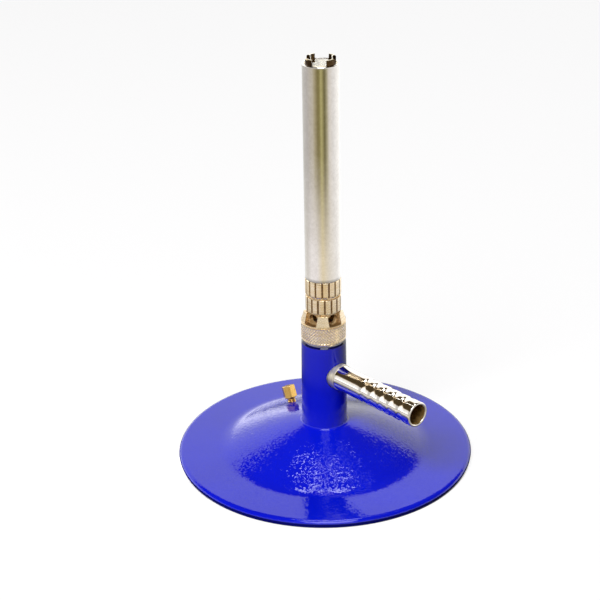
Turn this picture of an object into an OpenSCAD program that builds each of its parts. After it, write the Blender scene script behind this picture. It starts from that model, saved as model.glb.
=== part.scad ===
// Laboratory gas burner: domed base, painted column, barbed gas inlet,
// jet, mixing neck with a turning air regulator, plated barrel and a
// castellated flame stabiliser. Millimetres, +Z up, origin on the bench
// under the column, +X along the gas inlet.

/* [Base] */
// Diameter of the base
base_d = 102; // [96:1:120]
// Height of the rim at the edge
rim_h = 2.4; // [2.2:0.1:3]
// Height of the seat that the column stands on
seat_z = 12; // [11.5:0.1:13]
// Number of ribs under the dome
rib_count = 4; // [3:1:6]

/* [Column] */
// Diameter of the column at its top
stem_d = 15.2; // [14.8:0.1:15.6]
// Diameter of the column at its foot
foot_d = 15.8; // [15.2:0.1:16]
// Height of the column's top face
stem_top = 43; // [42:0.5:50]
// Height of the gas inlet's axis
inlet_z = 31.5; // [29:0.5:32]

/* [Gas inlet] */
// Outside diameter of the hose nipple
nipple_d = 8.5; // [8:0.1:8.6]
// Bore of the hose nipple
nipple_bore = 6.8; // [6:0.1:7]
// Distance of the nipple's tip from the column's axis
nipple_tip = 45; // [44:0.5:50]
// Number of hose barbs
barb_count = 5; // [3:1:5]

/* [Air regulator] */
// Number of air ports
port_count = 5; // [2:1:5]
// Diameter of each port in the neck
port_d = 3.6; // [3:0.1:3.8]
// Number of knurl teeth round the collar
collar_teeth = 72; // [48:4:80]
// Number of grip grooves round the neck and the barrel's ferrule
grip_count = 16; // [8:1:20]

/* [Barrel] */
// Outside diameter of the barrel
barrel_d = 12; // [12:0.1:12.4]
// Length of the plated tube
barrel_l = 73.2; // [60:0.2:120]
// Height of the stabiliser's teeth above the tube
crown_h = 1.8; // [1.2:0.1:2.5]
// Width of the slots between those teeth
crown_slot = 4.5; // [3:0.1:5]

/* [Hidden] */
$fn = 96;

base_r = base_d / 2;
stem_r = stem_d / 2;
foot_r = foot_d / 2;
brass = [0.80, 0.63, 0.34];
nickel = [0.80, 0.79, 0.75];
blue = [0.05, 0.08, 0.66];
steel = [0.62, 0.63, 0.64];
fibre = [0.45, 0.13, 0.09];

// dome: a shallow crown that steepens outwards, then a fillet into the flange
dome_r1 = 32.5;
toe_r = 37.5;
slope0 = 0.22;
slope_f = 0.03;
drop1 = seat_z - 3.95;
dome_b = (drop1 - slope0 * (dome_r1 - foot_r)) / pow(dome_r1 - foot_r, 2);
slope1 = slope0 + 2 * dome_b * (dome_r1 - foot_r);
toe_z = rim_h + slope_f * (base_r - 1.6 - toe_r);
function dome_z(r) = seat_z - slope0 * (r - foot_r) - dome_b * pow(r - foot_r, 2);
function toe_fillet_z(t) =
    (2*t*t*t - 3*t*t + 1) * dome_z(dome_r1)
    + (t*t*t - 2*t*t + t) * (toe_r - dome_r1) * -slope1
    + (-2*t*t*t + 3*t*t) * toe_z
    + (t*t*t - t*t) * (toe_r - dome_r1) * -slope_f;
shell_t = 2.8;

// spare jet: in a tapped hole in the dome, across from the inlet, leaning outwards
spare_r = 25;
spare_az = 166;
spare_tilt = 24;
spare_swing = 10;
spare_gap = 1.6;

// stack heights above the column
washer_top = stem_top + 0.4;
spigot_top = stem_top + 6;
port_z = stem_top + 9.3;
collar_top = stem_top + 11;
collar_edge = stem_top + 7.6;
neck_top = stem_top + 17;
ferrule_z = neck_top + 0.2;
ferrule_top = ferrule_z + 5.8;
tube_top = ferrule_top + barrel_l;
barrel_r = barrel_d / 2;
tube_in = barrel_r - 0.8;
neck_r = 5.65;
ring_z = stem_top + 3.5;
port_az = -8;

module ring(ro, ri, z0, z1) {
    rotate_extrude() polygon([[ri, z0], [ro, z0], [ro, z1], [ri, z1]]);
}

module knurled(r, depth, teeth, h) {
    linear_extrude(height = h)
        polygon([for (i = [0:2*teeth-1])
            let (a = 180 * i / teeth, q = (i % 2 == 0) ? r : r - depth)
            [q * cos(a), q * sin(a)]]);
}

// a drum with straight grooves cut along its length
module grooved(r, depth, h) {
    step = 360 / grip_count;
    linear_extrude(height = h)
        polygon([for (i = [0:grip_count-1])
            each [[(r - depth) * cos(i * step), (r - depth) * sin(i * step)],
                for (j = [0:4]) let (a = i * step + 3.4 + (step - 6.8) * j / 4)
                    [r * cos(a), r * sin(a)]]]);
}

module rib() {
    rotate([90, 0, 0]) linear_extrude(height = 2.6, center = true)
        polygon([[9.6, 2.6], [31, 0.9], [33.4, 0.9], [33.4, dome_z(33.4) - 1.6],
            [26, dome_z(26) - 1.6], [18, dome_z(18) - 1.6],
            [9.6, dome_z(9.6) - 1.6]]);
}

module jet() {
    // origin at the underside of the hexagon, thread below, orifice on top
    difference() {
        union() {
            translate([0, 0, -5]) cylinder(r = 1.5, h = 5.2);
            intersection() {
                cylinder(r = 4.3 / sqrt(3), h = 4.4, $fn = 6);
                rotate_extrude() polygon([[0, 0], [2.2, 0], [2.6, 0.3],
                    [2.6, 4.05], [2.15, 4.4], [0, 4.4]]);
            }
        }
        translate([0, 0, -5.5]) cylinder(r = 0.8, h = 9);
        translate([0, 0, 3]) cylinder(r = 0.35, h = 2);
        translate([0, 0, 4.1]) cylinder(r = 0.9, h = 1);
    }
}

module base_casting() {
    color(blue) difference() {
        union() {
            rotate_extrude(convexity = 6) polygon(concat(
                [[4.1, seat_z], [foot_r, seat_z]],
                [for (i = [1:10]) let (r = foot_r + (dome_r1 - foot_r) * i / 10)
                    [r, dome_z(r)]],
                [for (i = [1:6]) [dome_r1 + (toe_r - dome_r1) * i / 6,
                    toe_fillet_z(i / 6)]],
                [[base_r - 1.6, rim_h], [base_r - 1, rim_h - 0.1],
                    [base_r - 0.5, rim_h - 0.34], [base_r - 0.15, rim_h - 0.75],
                    [base_r, rim_h - 1.2], [base_r, 0.4], [base_r - 0.4, 0],
                    [base_r - 5, 0], [base_r - 5.5, 0.6], [34.5, 0.6]],
                [for (i = [0:8]) let (r = 33 - 24 * i / 8)
                    [r, dome_z(r) - shell_t]],
                [[9, seat_z - 4.5], [4.1, seat_z - 4.5]]));
            for (i = [0:rib_count-1]) rotate([0, 0, 45 + 360 * i / rib_count]) rib();
        }
        rotate([0, 0, spare_az]) translate([spare_r, 0, dome_z(spare_r)])
            rotate([0, spare_tilt, spare_swing]) translate([0, 0, -8])
                cylinder(r = 1.56, h = 12);
    }
}

module stem_column() {
    color(blue) difference() {
        union() {
            rotate_extrude() polygon([[0, 0.9], [3.6, 0.9], [4, 1.3],
                [4, seat_z], [foot_r, seat_z], [stem_r, stem_top - 0.5],
                [stem_r - 0.5, stem_top], [4.2, stem_top],
                [4.2, spigot_top - 0.3], [3.9, spigot_top], [0, spigot_top]]);
        }
        translate([0, 0, inlet_z - 4.5]) cylinder(r = 2.5, h = stem_top - inlet_z + 1);
        translate([0, 0, inlet_z]) cylinder(r = 1.56, h = 40);
        translate([0, 0, inlet_z]) rotate([0, 90, 0]) cylinder(r = 2.2, h = 20);
        translate([2, 0, inlet_z]) rotate([0, 90, 0]) cylinder(r = 3.05, h = 20);
        translate([stem_r - 1.6, 0, inlet_z]) rotate([0, 90, 0])
            cylinder(r = 4.6, h = 20);
    }
}

module stem_flat_washer() {
    color(steel) ring(8, 4.15, seat_z - 5.7, seat_z - 4.5);
}

module stem_spring_washer() {
    color(steel) difference() {
        ring(6.4, 4.15, seat_z - 7.1, seat_z - 5.7);
        rotate([0, 0, 200]) translate([3, 0, seat_z - 6.4]) rotate([35, 0, 0])
            cube([8, 0.8, 4], center = true);
    }
}

module stem_lock_nut() {
    color(steel) difference() {
        intersection() {
            translate([0, 0, seat_z - 11]) cylinder(r = 13 / sqrt(3), h = 3.9, $fn = 6);
            translate([0, 0, seat_z - 11]) rotate_extrude() polygon([[0, 0],
                [6.6, 0], [7.6, 0.6], [7.6, 3.3], [6.6, 3.9], [0, 3.9]]);
        }
        translate([0, 0, 0]) cylinder(r = 4.06, h = 20);
    }
}

barb_pitch = 4.35;
barb_x0 = nipple_tip - 2 - barb_pitch * barb_count;
module inlet_nipple() {
    nr = nipple_d / 2;
    color(nickel) translate([0, 0, inlet_z]) rotate([0, 90, 0])
        rotate_extrude(convexity = 6) polygon(concat(
            [[2, stem_r - 4.6], [2.7, stem_r - 4.6], [3, stem_r - 4.3],
                [3, stem_r - 0.9], [4.3, stem_r - 0.9], [4.45, stem_r - 0.75],
                [4.45, stem_r + 1.55], [4.35, stem_r + 1.7], [nr, stem_r + 1.7],
                [nr, barb_x0]],
            [for (i = [0:barb_count-1]) let (x = barb_x0 + barb_pitch * i)
                each [[nr - 0.15, x + 0.5], [nr - 0.2, x + 1.2],
                    [nr, x + 3.0], [nr, x + barb_pitch]]],
            [[nr, nipple_tip - 0.4], [nr - 0.25, nipple_tip],
                [nipple_bore / 2 + 0.1, nipple_tip],
                [nipple_bore / 2, nipple_tip - 0.3],
                [nipple_bore / 2, stem_r + 3.2], [2, stem_r + 2]]));
}

module inlet_sealing_washer() {
    color(steel) translate([stem_r - 1.6, 0, inlet_z]) rotate([0, 90, 0])
        ring(4.5, 3.05, 0, 0.7);
}

module gas_jet() {
    color(brass) translate([0, 0, spigot_top + 0.5]) rotate([0, 0, 15]) jet();
}

module jet_sealing_washer() {
    color(fibre) ring(2.6, 1.6, spigot_top, spigot_top + 0.5);
}

module spare_gas_jet() {
    color(brass) rotate([0, 0, spare_az]) translate([spare_r, 0, dome_z(spare_r)])
        rotate([0, spare_tilt, spare_swing]) translate([0, 0, spare_gap])
            rotate([0, 0, 10]) jet();
}

module mixing_neck() {
    grip_z = collar_top + 0.4;
    color(brass) difference() {
        union() {
            rotate_extrude(convexity = 6) polygon([
                [4.25, washer_top], [neck_r, washer_top], [neck_r, ring_z - 0.45],
                [5.2, ring_z - 0.45], [5.2, ring_z + 0.45], [neck_r, ring_z + 0.45],
                [neck_r, neck_top - 0.4], [5.25, neck_top - 0.4],
                [5.25, neck_top + 0.1], [4.85, neck_top + 0.1],
                [4.85, neck_top + 4.7], [4.6, neck_top + 5],
                [4, neck_top + 5], [4, spigot_top + 0.6], [4.25, spigot_top + 0.3]]);
            intersection() {
                translate([0, 0, grip_z]) rotate([0, 0, 8]) difference() {
                    grooved(barrel_r - 0.02, 0.25, neck_top - 0.4 - grip_z);
                    translate([0, 0, -1]) cylinder(r = 5.2, h = 20);
                }
                rotate_extrude() polygon([[0, grip_z], [barrel_r - 0.3, grip_z],
                    [barrel_r, grip_z + 0.3], [barrel_r, neck_top - 0.7],
                    [barrel_r - 0.3, neck_top - 0.4], [0, neck_top - 0.4]]);
            }
        }
        for (i = [0:port_count-1]) rotate([0, 0, port_az + 360 * i / port_count])
            translate([2, 0, port_z]) rotate([0, 90, 0])
                cylinder(d = port_d, h = 8);
    }
}

module collar_thrust_washer() {
    color(steel) ring(stem_r - 0.55, 4.25, stem_top, washer_top);
}

module collar_friction_ring() {
    color(steel) difference() {
        rotate_extrude() translate([5.62, ring_z]) circle(r = 0.36, $fn = 32);
        rotate([0, 0, 45]) translate([4.5, -1, ring_z - 1]) cube([3, 2, 2]);
    }
}

module air_regulator_collar() {
    slot_w = port_d + 1.3;
    color(brass) difference() {
        intersection() {
            translate([0, 0, washer_top]) knurled(stem_r, 0.22, collar_teeth,
                collar_top - washer_top);
            rotate_extrude() polygon([[0, washer_top], [stem_r - 0.45, washer_top],
                [stem_r + 0.1, washer_top + 0.5], [stem_r + 0.1, collar_edge - 0.1],
                [6.5, collar_top], [0, collar_top]]);
        }
        translate([0, 0, stem_top - 1]) cylinder(r = 5.72, h = 20);
        ring(6.06, 5, ring_z - 0.45, ring_z + 0.45);
        // a turned groove parts the knurl from the sloping shoulder
        ring(9, stem_r - 0.32, collar_edge - 0.75, collar_edge - 0.15);
        for (i = [0:port_count-1]) rotate([0, 0, port_az + 360 * i / port_count])
            translate([3, -slot_w / 2, collar_edge - 0.1]) cube([8, slot_w, 6]);
    }
}

module barrel_ferrule() {
    color(brass) difference() {
        union() {
            intersection() {
                translate([0, 0, ferrule_z]) grooved(barrel_r + 0.08, 0.28,
                    ferrule_top - ferrule_z);
                rotate_extrude() polygon([[0, ferrule_z],
                    [barrel_r - 0.25, ferrule_z], [barrel_r + 0.1, ferrule_z + 0.35],
                    [barrel_r + 0.1, ferrule_top - 0.35],
                    [barrel_r - 0.25, ferrule_top], [0, ferrule_top]]);
            }
            translate([0, 0, ferrule_top - 1]) cylinder(r = tube_in - 0.03, h = 7);
        }
        translate([0, 0, ferrule_z - 1]) cylinder(r = 4.9, h = 6.1);
        translate([0, 0, ferrule_z]) cylinder(r = 4.2, h = 20);
    }
}

module barrel_tube() {
    color(nickel) rotate_extrude() polygon([[tube_in, ferrule_top],
        [barrel_r, ferrule_top], [barrel_r, tube_top - 0.2],
        [barrel_r - 0.15, tube_top], [tube_in, tube_top]]);
}

module flame_stabiliser() {
    color(nickel) difference() {
        rotate_extrude() polygon([[4.25, tube_top - 8], [4.9, tube_top - 8],
            [tube_in - 0.01, tube_top - 7.6], [tube_in - 0.01, tube_top + crown_h - 0.3],
            [tube_in - 0.3, tube_top + crown_h], [4.45, tube_top + crown_h],
            [4.25, tube_top + crown_h - 0.2]]);
        for (i = [0:3]) rotate([0, 0, -48 + 90 * i])
            translate([3, -crown_slot / 2, tube_top]) cube([4, crown_slot, 5]);
        for (i = [0:7]) rotate([0, 0, 19.5 + 45 * i])
            translate([tube_in, 0, tube_top - 9]) cylinder(r = 0.42, h = 9, $fn = 24);
    }
}

base_casting();
stem_column();
stem_flat_washer();
stem_spring_washer();
stem_lock_nut();
inlet_nipple();
inlet_sealing_washer();
gas_jet();
jet_sealing_washer();
mixing_neck();
collar_thrust_washer();
collar_friction_ring();
air_regulator_collar();
barrel_ferrule();
barrel_tube();
flame_stabiliser();
spare_gas_jet();
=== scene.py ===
import math

import bmesh
import bpy
import numpy as np
from mathutils import Matrix, Vector


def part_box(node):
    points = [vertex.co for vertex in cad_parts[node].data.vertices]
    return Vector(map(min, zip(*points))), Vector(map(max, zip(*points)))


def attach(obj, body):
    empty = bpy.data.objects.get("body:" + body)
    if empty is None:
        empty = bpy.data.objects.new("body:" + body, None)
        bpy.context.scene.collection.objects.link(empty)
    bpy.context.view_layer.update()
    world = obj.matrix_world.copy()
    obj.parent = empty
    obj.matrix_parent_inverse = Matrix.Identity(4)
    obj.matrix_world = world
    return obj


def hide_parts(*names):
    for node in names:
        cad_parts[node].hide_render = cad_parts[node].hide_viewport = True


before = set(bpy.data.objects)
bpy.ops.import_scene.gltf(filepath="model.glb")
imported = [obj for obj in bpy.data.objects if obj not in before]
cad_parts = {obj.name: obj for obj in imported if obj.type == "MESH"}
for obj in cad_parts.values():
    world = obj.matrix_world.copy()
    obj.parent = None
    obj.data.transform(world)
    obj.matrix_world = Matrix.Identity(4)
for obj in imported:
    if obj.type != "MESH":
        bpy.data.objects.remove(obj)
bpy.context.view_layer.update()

MM = 0.001
TAU = 2 * math.pi


# ---------------------------------------------------------------- frame sizes
def mmbox(node):
    lo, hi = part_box(node)
    return [v / MM for v in lo], [v / MM for v in hi]


b_lo, b_hi = mmbox("base_casting")
s_lo, s_hi = mmbox("stem_column")
n_lo, n_hi = mmbox("inlet_nipple")
c_lo, c_hi = mmbox("air_regulator_collar")
k_lo, k_hi = mmbox("mixing_neck")
f_lo, f_hi = mmbox("barrel_ferrule")
t_lo, t_hi = mmbox("barrel_tube")
x_lo, x_hi = mmbox("flame_stabiliser")
j_lo, j_hi = mmbox("gas_jet")
w_lo, w_hi = mmbox("stem_lock_nut")

BASE_R = b_hi[0]
SEAT = b_hi[2]
STEM_R = s_hi[0]
TOP_R = c_hi[0]
SPIGOT_TOP = s_hi[2]
STEM_TOP = SPIGOT_TOP - 6.0
INLET_Z = (n_lo[2] + n_hi[2]) / 2
TIP = n_hi[0]
RING_R = (n_hi[2] - n_lo[2]) / 2
PIPE_R = RING_R - 0.2
COLLAR_Z0, COLLAR_Z1 = c_lo[2], c_hi[2]
NECK_TOP = k_hi[2] - 5.0
NECK_R = k_hi[0]
TUBE_R = t_hi[0]
TUBE_Z0, TUBE_Z1 = t_lo[2], t_hi[2]
TUBE_IN = TUBE_R - 0.8
CROWN_Z = x_hi[2]


# ---------------------------------------------------------------- mesh tools
def fillet(points, n=4):
    """Rounds the corners of a closed outline: each point is (r, z) or (r, z, radius)."""
    out = []
    m = len(points)
    for i, p in enumerate(points):
        rad = p[2] if len(p) > 2 else 0
        a, b, c = (Vector(points[i - 1][:2]), Vector(p[:2]), Vector(points[(i + 1) % m][:2]))
        u, v = (a - b), (c - b)
        if rad <= 0 or u.length < 1e-9 or v.length < 1e-9:
            out.append((b.x, b.y))
            continue
        lu, lv = u.length, v.length
        u.normalize()
        v.normalize()
        half = math.acos(max(-1, min(1, u.dot(v)))) / 2
        if half > math.pi / 2 - 0.02 or half < 0.02:
            out.append((b.x, b.y))
            continue
        d = min(rad / math.tan(half), 0.48 * lu, 0.48 * lv)
        r = d * math.tan(half)
        centre = b + (u + v).normalized() * (r / math.sin(half))
        p0, p1 = b + u * d - centre, b + v * d - centre
        a0, a1 = math.atan2(p0.y, p0.x), math.atan2(p1.y, p1.x)
        da = (a1 - a0 + math.pi) % TAU - math.pi
        for k in range(n + 1):
            t = a0 + da * k / n
            out.append((centre.x + r * math.cos(t), centre.y + r * math.sin(t)))
    return out


def dense(points, step):
    """Splits the long sides of a closed outline so that no side is longer than step."""
    out = []
    for i, p in enumerate(points):
        q = points[(i + 1) % len(points)]
        d = math.hypot(q[0] - p[0], q[1] - p[1])
        n = max(1, int(math.ceil(d / step)))
        for k in range(n):
            out.append((p[0] + (q[0] - p[0]) * k / n, p[1] + (q[1] - p[1]) * k / n))
    return out


def revolve(name, rings, seg=160, closed=True, matrix=None, mats=(), pick=None, shape=None):
    """A solid of revolution in mm. rings are (r, z) in order round the outline; shape(theta, r, z) may change r.
    An open outline starts and ends on the axis. pick(r, z) gives a face's material number."""
    verts, rows = [], []
    theta = [TAU * i / seg for i in range(seg)]
    for r, z in rings:
        if r < 1e-6:
            rows.append([len(verts)])
            verts.append((0, 0, z * MM))
            continue
        row = []
        for t in theta:
            rr = shape(t, r, z) if shape else r
            row.append(len(verts))
            verts.append((rr * math.cos(t) * MM, rr * math.sin(t) * MM, z * MM))
        rows.append(row)
    faces, numbers = [], []
    count = len(rows) if closed else len(rows) - 1
    for k in range(count):
        a, b = rows[k], rows[(k + 1) % len(rows)]
        ra, rb = rings[k], rings[(k + 1) % len(rings)]
        number = pick((ra[0] + rb[0]) / 2, (ra[1] + rb[1]) / 2) if pick else 0
        for i in range(seg):
            j = (i + 1) % seg
            if len(a) == 1 and len(b) == 1:
                continue
            if len(a) == 1:
                faces.append((a[0], b[j], b[i]))
            elif len(b) == 1:
                faces.append((a[i], a[j], b[0]))
            else:
                faces.append((a[i], a[j], b[j], b[i]))
            numbers.append(number)
    mesh = bpy.data.meshes.new(name)
    mesh.from_pydata(verts, [], faces)
    mesh.polygons.foreach_set("material_index", numbers)
    bm = bmesh.new()
    bm.from_mesh(mesh)
    if bm.calc_volume(signed=True) < 0:
        bmesh.ops.reverse_faces(bm, faces=bm.faces)
    bm.to_mesh(mesh)
    bm.free()
    if matrix is not None:
        mesh.transform(matrix)
    obj = bpy.data.objects.new(name, mesh)
    bpy.context.scene.collection.objects.link(obj)
    for m in mats:
        mesh.materials.append(m)
    return obj


def soften(obj, angle=38, weighted=True):
    mesh = obj.data
    mesh.polygons.foreach_set("use_smooth", [True] * len(mesh.polygons))
    mesh.set_sharp_from_angle(angle=math.radians(angle))
    if weighted:
        m = obj.modifiers.new("normals", "WEIGHTED_NORMAL")
        m.keep_sharp = True
        m.weight = 60
    return obj


def boolean(obj, cutters, operation="DIFFERENCE"):
    """Applies exact booleans and removes the cutters."""
    for c in cutters:
        m = obj.modifiers.new("cut", "BOOLEAN")
        m.operation = operation
        m.solver = "EXACT"
        m.object = c
    dg = bpy.context.evaluated_depsgraph_get()
    mesh = bpy.data.meshes.new_from_object(obj.evaluated_get(dg))
    old = obj.data
    obj.modifiers.clear()
    obj.data = mesh
    mesh.name = old.name
    for c in cutters:
        bpy.data.objects.remove(c)
    bm = bmesh.new()
    bm.from_mesh(mesh)
    bmesh.ops.remove_doubles(bm, verts=bm.verts, dist=1e-7)
    bmesh.ops.dissolve_degenerate(bm, edges=bm.edges, dist=1e-7)
    bm.to_mesh(mesh)
    bm.free()
    return obj


def bevel(obj, width, segments=2, angle=35):
    m = obj.modifiers.new("edge", "BEVEL")
    m.width = width * MM
    m.segments = segments
    m.limit_method = "ANGLE"
    m.angle_limit = math.radians(angle)
    m.use_clamp_overlap = True
    m.harden_normals = False
    return obj


def drum(name, r, z0, z1, matrix=None, seg=64):
    return revolve(name, [(0, z0), (r, z0), (r, z1), (0, z1)], seg=seg, closed=False, matrix=matrix)


def slab(name, lo, hi, matrix=None):
    """A cutter block, as six joined quads."""
    mesh = bpy.data.meshes.new(name)
    v = [(x * MM, y * MM, z * MM) for x in (lo[0], hi[0]) for y in (lo[1], hi[1]) for z in (lo[2], hi[2])]
    mesh.from_pydata(v, [], [(0, 1, 3, 2), (4, 6, 7, 5), (0, 4, 5, 1), (2, 3, 7, 6), (0, 2, 6, 4), (1, 5, 7, 3)])
    if matrix is not None:
        mesh.transform(matrix)
    obj = bpy.data.objects.new(name, mesh)
    bpy.context.scene.collection.objects.link(obj)
    return obj


def turn_z(deg):
    return Matrix.Rotation(math.radians(deg), 4, "Z")


ALONG_X = Matrix.Translation((0, 0, INLET_Z * MM)) @ Matrix.Rotation(math.pi / 2, 4, "Y")


# ---------------------------------------------------------------- materials
class Nodes:
    def __init__(self, name):
        self.m = bpy.data.materials.new(name)
        self.m.use_nodes = True
        self.t = self.m.node_tree
        self.p = self.t.nodes["Principled BSDF"]

    def add(self, kind, **values):
        n = self.t.nodes.new(kind)
        for k, v in values.items():
            if k in n.inputs:
                n.inputs[k].default_value = v
            else:
                setattr(n, k.lower(), v)
        return n

    def link(self, a, b):
        self.t.links.new(a, b)

    def coords(self, scale=(1, 1, 1)):
        tc = self.add("ShaderNodeTexCoord")
        mp = self.add("ShaderNodeMapping")
        mp.inputs["Scale"].default_value = scale
        self.link(tc.outputs["Object"], mp.inputs["Vector"])
        return mp.outputs["Vector"]

    def noise(self, vector, scale, detail=2.0, rough=0.5):
        n = self.add("ShaderNodeTexNoise", Scale=scale, Detail=detail, Roughness=rough)
        self.link(vector, n.inputs["Vector"])
        return n.outputs["Fac"]

    def ramp(self, value, stops):
        r = self.add("ShaderNodeValToRGB")
        e = r.color_ramp.elements
        while len(e) < len(stops):
            e.new(0.5)
        for s, (pos, col) in zip(e, stops):
            s.position = pos
            s.color = (*col, 1) if len(col) == 3 else col
        self.link(value, r.inputs["Fac"])
        return r.outputs["Color"]

    def span(self, value, a, b, c, d):
        r = self.add("ShaderNodeMapRange")
        r.inputs["From Min"].default_value = a
        r.inputs["From Max"].default_value = b
        r.inputs["To Min"].default_value = c
        r.inputs["To Max"].default_value = d
        self.link(value, r.inputs["Value"])
        return r.outputs["Result"]

    def math(self, op, a, b=None):
        n = self.add("ShaderNodeMath")
        n.operation = op
        for i, v in enumerate((a, b)):
            if v is None:
                continue
            if isinstance(v, (int, float)):
                n.inputs[i].default_value = v
            else:
                self.link(v, n.inputs[i])
        return n.outputs[0]

    def bump(self, height, distance, strength=1.0, normal=None):
        b = self.add("ShaderNodeBump")
        b.inputs["Strength"].default_value = strength
        b.inputs["Distance"].default_value = distance
        self.link(height, b.inputs["Height"])
        if normal is not None:
            self.link(normal, b.inputs["Normal"])
        return b.outputs["Normal"]


FRONT_SIDE = (0.743, -0.669)


def paint(name="blue_enamel", tone=1.0):
    k = Nodes(name)
    v = k.coords()
    fine = k.noise(v, 1050, 1.5, 0.5)
    broad = k.noise(v, 240, 2.0)
    cloud = k.noise(v, 34, 3.0)
    nib = k.add("ShaderNodeTexVoronoi", Scale=620.0)
    k.link(v, nib.inputs["Vector"])
    nibs = k.span(nib.outputs["Distance"], 0.0, 0.24, 1.0, 0.0)
    pick = k.add("ShaderNodeSeparateColor")
    k.link(nib.outputs["Color"], pick.inputs[0])
    nibs = k.math("MULTIPLY", k.math("MULTIPLY", nibs, nibs), k.span(pick.outputs[0], 0.45, 0.95, 0.0, 1.0))
    # the texture is strongest on the slope of the dome
    place = k.add("ShaderNodeSeparateXYZ")
    k.link(v, place.inputs[0])
    rise = k.span(place.outputs[2], 0.0026, 0.0046, 0.2, 1.0)
    fall = k.span(place.outputs[2], 0.0100, 0.0125, 1.0, 0.2)
    slope = k.math("MULTIPLY", rise, fall)
    k.link(k.ramp(cloud, [(0.30, (0.0012 * tone, 0.0060 * tone, 0.560 * tone)), (0.72, (0.0020 * tone, 0.0100 * tone, 0.660 * tone))]), k.p.inputs["Base Color"])
    k.link(k.span(broad, 0.25, 0.8, 0.050, 0.100), k.p.inputs["Roughness"])
    n = k.bump(k.math("MULTIPLY", k.math("SUBTRACT", fine, 0.5), slope), 0.00006)
    n = k.bump(broad, 0.00002, 1.0, n)
    n = k.bump(k.math("MULTIPLY", nibs, slope), 0.00008, 1.0, n)
    # grains in the enamel, each with its own small tilt
    grain = k.add("ShaderNodeTexVoronoi", Scale=2000.0)
    k.link(v, grain.inputs["Vector"])
    tilt = k.add("ShaderNodeVectorMath")
    tilt.operation = "SUBTRACT"
    k.link(grain.outputs["Color"], tilt.inputs[0])
    tilt.inputs[1].default_value = (0.5, 0.5, 0.5)
    size = k.add("ShaderNodeVectorMath")
    size.operation = "SCALE"
    k.link(tilt.outputs["Vector"], size.inputs[0])
    # a choice of look: the grain is set stronger on the front side of the dome than on the back
    toward = k.math("ADD", k.math("MULTIPLY", place.outputs[0], FRONT_SIDE[0]), k.math("MULTIPLY", place.outputs[1], FRONT_SIDE[1]))
    coarse = k.span(toward, 0.008, 0.021, 0.045, 0.20)
    k.link(k.math("MULTIPLY", slope, coarse), size.inputs["Scale"])
    lean = k.add("ShaderNodeVectorMath")
    lean.operation = "ADD"
    k.link(n, lean.inputs[0])
    k.link(size.outputs["Vector"], lean.inputs[1])
    unit = k.add("ShaderNodeVectorMath")
    unit.operation = "NORMALIZE"
    k.link(lean.outputs["Vector"], unit.inputs[0])
    n = unit.outputs["Vector"]
    k.link(n, k.p.inputs["Normal"])
    k.p.inputs["IOR"].default_value = 1.50
    return k.m


def metal(name, low, high, rough, axis="Z", lines=2600, depth=0.000004, mottle=0.5, solid=1.0):
    """Turned metal: fine rings round the turning axis, uneven tone and uneven gloss."""
    k = Nodes(name)
    v = k.coords()
    stretch = {"Z": (0.03, 0.03, 1), "X": (1, 0.03, 0.03), "N": (1, 1, 1)}[axis]
    ringed = k.noise(k.coords(stretch), lines, 2.0, 0.6)
    cloud = k.noise(v, 160, 4.0, 0.6)
    speck = k.noise(v, 2600, 2.0)
    mix = k.math("ADD", k.math("MULTIPLY", cloud, mottle), k.math("MULTIPLY", ringed, 1 - mottle))
    k.link(k.ramp(mix, [(0.34, low), (0.64, high)]), k.p.inputs["Base Color"])
    k.p.inputs["Metallic"].default_value = solid
    k.link(k.span(k.math("ADD", k.math("MULTIPLY", speck, 0.5), k.math("MULTIPLY", cloud, 0.5)), 0.3, 0.7, rough * 0.75, rough * 1.35),
           k.p.inputs["Roughness"])
    k.link(k.bump(ringed, depth), k.p.inputs["Normal"])
    return k.m


def fibre():
    k = Nodes("pressed_fibre")
    v = k.coords()
    grain = k.noise(v, 1500, 4.0, 0.7)
    k.link(k.ramp(grain, [(0.3, (0.19, 0.035, 0.02)), (0.7, (0.33, 0.08, 0.05))]), k.p.inputs["Base Color"])
    k.link(k.span(grain, 0.2, 0.8, 0.6, 0.85), k.p.inputs["Roughness"])
    k.link(k.bump(grain, 0.00002), k.p.inputs["Normal"])
    return k.m


M_PAINT = paint()
M_NICKEL = metal("nickel_tube", (0.76, 0.735, 0.69), (0.86, 0.84, 0.80), 0.12, axis="N", lines=900, depth=0.0000015)
M_NICKEL_X = metal("nickel_nipple", (0.80, 0.76, 0.69), (0.93, 0.90, 0.85), 0.085, axis="X", depth=0.000002)
M_SATIN = metal("nickel_satin", (0.56, 0.49, 0.33), (0.90, 0.85, 0.70), 0.36, axis="X", depth=0.00001, lines=1800, solid=0.75)
M_BRASS = metal("brass_satin", (0.86, 0.66, 0.40), (1.0, 0.88, 0.66), 0.25, depth=0.000006, solid=0.84)
M_BRASS_IN = metal("brass_shaded", (0.28, 0.16, 0.055), (0.58, 0.37, 0.14), 0.40, axis="N", depth=0.00001, lines=900, solid=0.7)
M_BORE = metal("brass_bore", (0.30, 0.17, 0.05), (0.60, 0.40, 0.14), 0.42, axis="N", depth=0.00001, lines=700, solid=0.6)
M_CROWN = metal("brass_crown", (0.50, 0.40, 0.22), (0.92, 0.84, 0.62), 0.18, depth=0.000004, mottle=0.7)
# near-black brass: a heat stain beside one gap, and painted shade and painted dark reflection on the crown's upright
# faces
M_HEAT_STAIN_AND_SHADE = metal("brass_heat_stain_and_painted_shade", (0.022, 0.011, 0.004), (0.10, 0.058, 0.024), 0.24, axis="N", depth=0.000004, mottle=0.8, lines=600)
M_MOUTH = metal("nickel_mouth", (0.92, 0.88, 0.78), (1.0, 0.99, 0.94), 0.5, axis="N", depth=0.000004, lines=900, solid=0.25)
M_JET = metal("brass_jet", (0.62, 0.34, 0.05), (0.95, 0.64, 0.22), 0.16, axis="N", depth=0.000004, solid=0.8)
M_ZINC = metal("zinc_steel", (0.40, 0.41, 0.42), (0.66, 0.67, 0.68), 0.32, axis="N", depth=0.000008, lines=700)
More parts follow.
